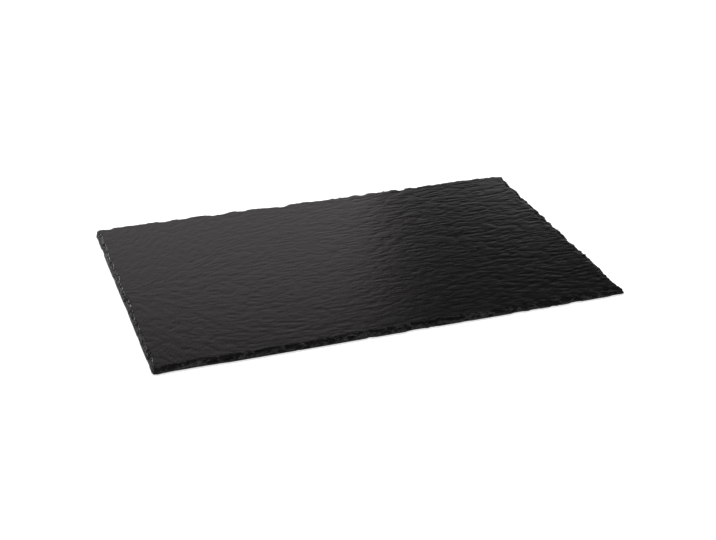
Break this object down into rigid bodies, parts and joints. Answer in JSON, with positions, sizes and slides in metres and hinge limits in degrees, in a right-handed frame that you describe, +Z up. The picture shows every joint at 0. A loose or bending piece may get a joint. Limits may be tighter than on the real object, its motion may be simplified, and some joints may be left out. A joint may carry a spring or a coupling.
{
  "type": "slate serving board",
  "caption": "Rectangular serving board of riven black slate with a hand-dressed, chipped edge, standing on low rubber feet stuck to its underside.",
  "frame": {"origin": "on the surface that the board stands on, under the middle of the board", "axes": "+X along the board's length to the right, +Y from the front edge to the back edge, +Z up out of the serving face"},
  "size_m": [0.5297, 0.3249, 0.0094],
  "materials": {
    "slate": "riven, oiled, satin",
    "foot_rubber": "moulded, matt",
    "adhesive_film": "acrylic adhesive film"
  },
  "bodies": {
    "root": {"slate_slab": "slate", "foot_front_left": "foot_rubber", "foot_front_right": "foot_rubber", "foot_back_left": "foot_rubber", "foot_back_right": "foot_rubber", "adhesive_front_left": "adhesive_film", "adhesive_front_right": "adhesive_film", "adhesive_back_left": "adhesive_film", "adhesive_back_right": "adhesive_film"}
  },
  "joints": []
}
